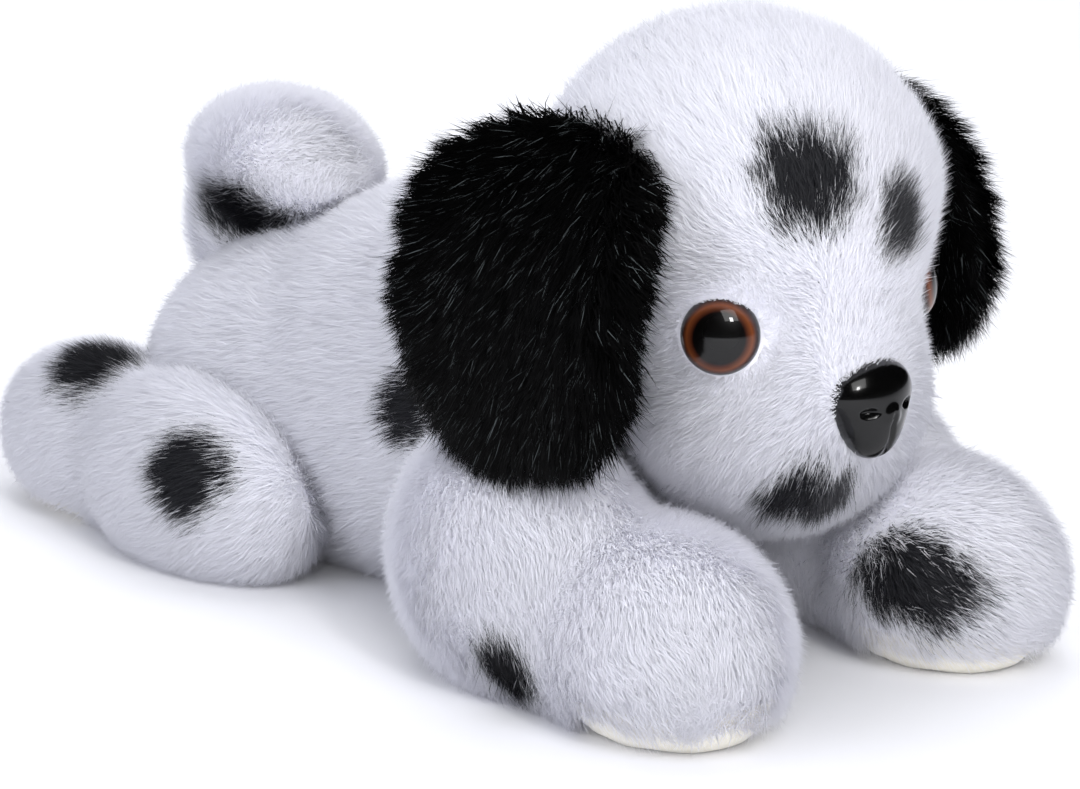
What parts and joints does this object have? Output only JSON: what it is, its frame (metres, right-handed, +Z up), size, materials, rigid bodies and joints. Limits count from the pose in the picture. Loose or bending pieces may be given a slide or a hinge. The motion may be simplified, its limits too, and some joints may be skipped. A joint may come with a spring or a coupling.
{
  "type": "plush puppy toy",
  "caption": "Plush spotted puppy lying on its belly, with drop ears, a curled tail, plastic eyes and nose, and legs, ears, head and tail that move at their seams.",
  "frame": {"origin": "centre of the bounding box at floor level, under the belly", "axes": "+Z up, the puppy faces -Y, its left side is +X"},
  "size_m": [0.1268, 0.268, 0.1378],
  "materials": {
    "plush_white": "long white pile with black spots",
    "plush_black": "long shaggy black pile",
    "sole_cream": "short cream pile",
    "polyester_filling": "loose polyester fibre",
    "bean_bag_cloth": "plain woven bag of plastic beans",
    "eye_dome": "clear brown gloss",
    "eye_back": "black gloss",
    "nose_plastic": "black gloss",
    "washer_plastic": "natural white"
  },
  "bodies": {
    "torso": {"body_panel_left": "plush_white", "body_panel_right": "plush_white", "belly_panel": "plush_white", "body_stuffing": "polyester_filling", "bean_bag": "bean_bag_cloth"},
    "front_leg_right": {"front_leg_right_outer": "plush_white", "front_leg_right_inner": "plush_white", "front_leg_right_sole": "sole_cream", "front_leg_right_stuffing": "polyester_filling"},
    "hind_leg_right": {"hind_leg_right_outer": "plush_white", "hind_leg_right_inner": "plush_white", "hind_leg_right_sole": "sole_cream", "hind_leg_right_stuffing": "polyester_filling"},
    "front_leg_left": {"front_leg_left_outer": "plush_white", "front_leg_left_inner": "plush_white", "front_leg_left_sole": "sole_cream", "front_leg_left_stuffing": "polyester_filling"},
    "hind_leg_left": {"hind_leg_left_outer": "plush_white", "hind_leg_left_inner": "plush_white", "hind_leg_left_sole": "sole_cream", "hind_leg_left_stuffing": "polyester_filling"},
    "tail": {"tail_panel_left": "plush_white", "tail_panel_right": "plush_white", "tail_stuffing": "polyester_filling"},
    "head": {"head_crown_panel": "plush_white", "head_chin_panel": "plush_white", "head_cheek_left": "plush_white", "head_cheek_right": "plush_white", "head_stuffing": "polyester_filling", "eye_right_back": "eye_back", "eye_right_dome": "eye_dome", "eye_right_washer": "washer_plastic", "eye_left_back": "eye_back", "eye_left_dome": "eye_dome", "eye_left_washer": "washer_plastic", "nose": "nose_plastic", "nose_washer": "washer_plastic"},
    "ear_right": {"ear_right_outer": "plush_black", "ear_right_inner": "plush_black"},
    "ear_left": {"ear_left_outer": "plush_black", "ear_left_inner": "plush_black"}
  },
  "joints": [
    {"name": "head_turn", "type": "hinge", "parent": "torso", "child": "head", "pos_m": [0, -0.06165, 0.05846], "axis": [0, 0, 1], "range_deg": [-15, 15], "stiffness_Nm_per_rad": 0.05},
    {"name": "ear_lift_right", "type": "hinge", "parent": "head", "child": "ear_right", "pos_m": [-0.0339, -0.07726, 0.12328], "axis": [-0.0349, 0.9994, 0], "range_deg": [0, 80]},
    {"name": "ear_lift_left", "type": "hinge", "parent": "head", "child": "ear_left", "pos_m": [0.03251, -0.06774, 0.12677], "axis": [0.0349, -0.9994, 0], "range_deg": [0, 80]},
    {"name": "front_leg_splay_right", "type": "hinge", "parent": "torso", "child": "front_leg_right", "pos_m": [-0.044, -0.06365, 0.0205], "axis": [0, 0, -1], "range_deg": [-12, 12]},
    {"name": "front_leg_splay_left", "type": "hinge", "parent": "torso", "child": "front_leg_left", "pos_m": [0.044, -0.06365, 0.0205], "axis": [0, 0, 1], "range_deg": [-12, 12]},
    {"name": "hind_leg_splay_right", "type": "hinge", "parent": "torso", "child": "hind_leg_right", "pos_m": [-0.041, 0.04735, 0.0205], "axis": [0, 0, -1], "range_deg": [-12, 12]},
    {"name": "hind_leg_splay_left", "type": "hinge", "parent": "torso", "child": "hind_leg_left", "pos_m": [0.041, 0.04735, 0.0205], "axis": [0, 0, 1], "range_deg": [-12, 12]},
    {"name": "tail_wag", "type": "hinge", "parent": "torso", "child": "tail", "pos_m": [0, 0.09635, 0.05792], "axis": [0, 0, 1], "range_deg": [-25, 25], "stiffness_Nm_per_rad": 0.01}
  ]
}
